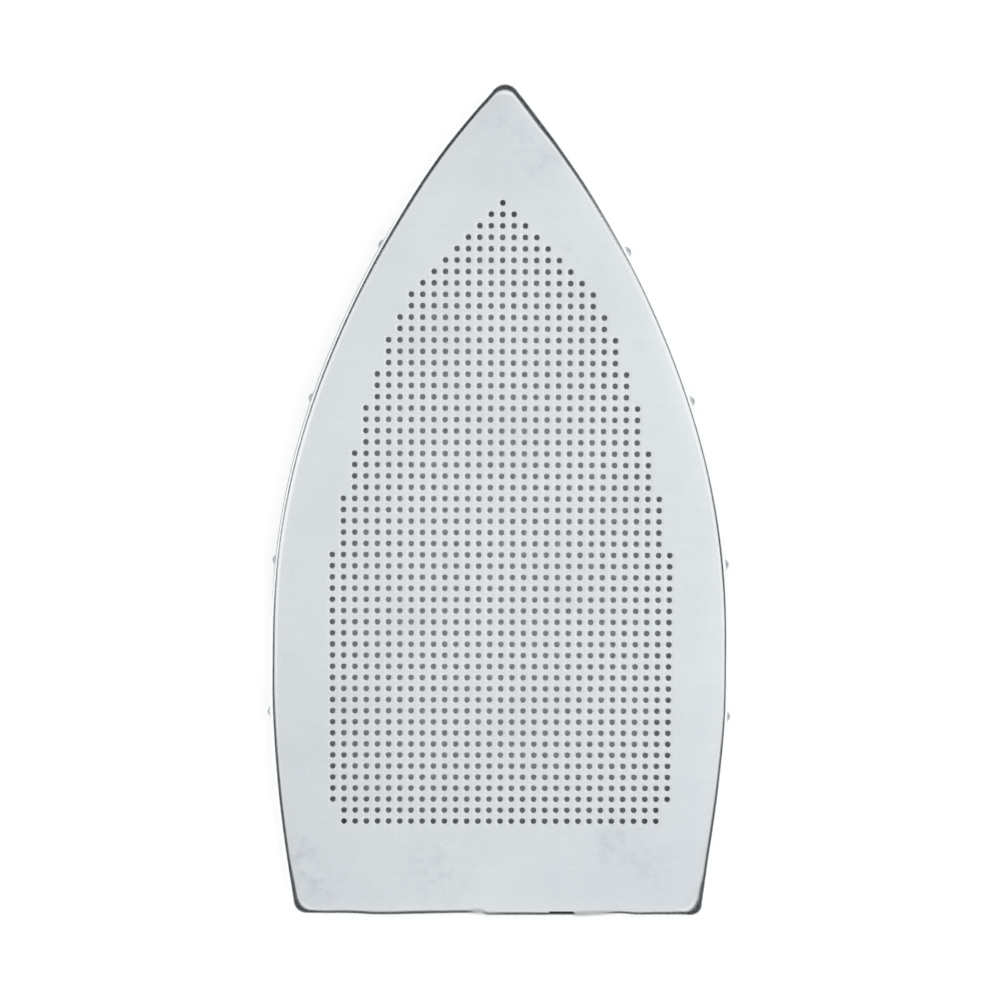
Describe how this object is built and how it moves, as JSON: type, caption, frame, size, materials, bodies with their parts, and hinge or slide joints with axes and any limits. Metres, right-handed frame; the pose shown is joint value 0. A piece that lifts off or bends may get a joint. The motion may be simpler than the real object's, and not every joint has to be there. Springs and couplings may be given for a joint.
{
  "type": "iron shoe cover",
  "caption": "Perforated sheet tray that slips over a steam iron's sole, with a pointed tip, a rounded edge, a low wall with small bumps and a slotted catch pressed out at the heel.",
  "frame": {"origin": "middle of the outline's length and width, in the plane of the wall's free edge that it rests on", "axes": "+Y from the heel to the tip, +X to the right seen from above the sole face, +Z out of the sole face"},
  "size_m": [0.1246, 0.223, 0.01],
  "materials": {
    "aluminium_sheet": "satin"
  },
  "bodies": {
    "root": {"perforated_shoe": "aluminium_sheet"}
  },
  "joints": []
}
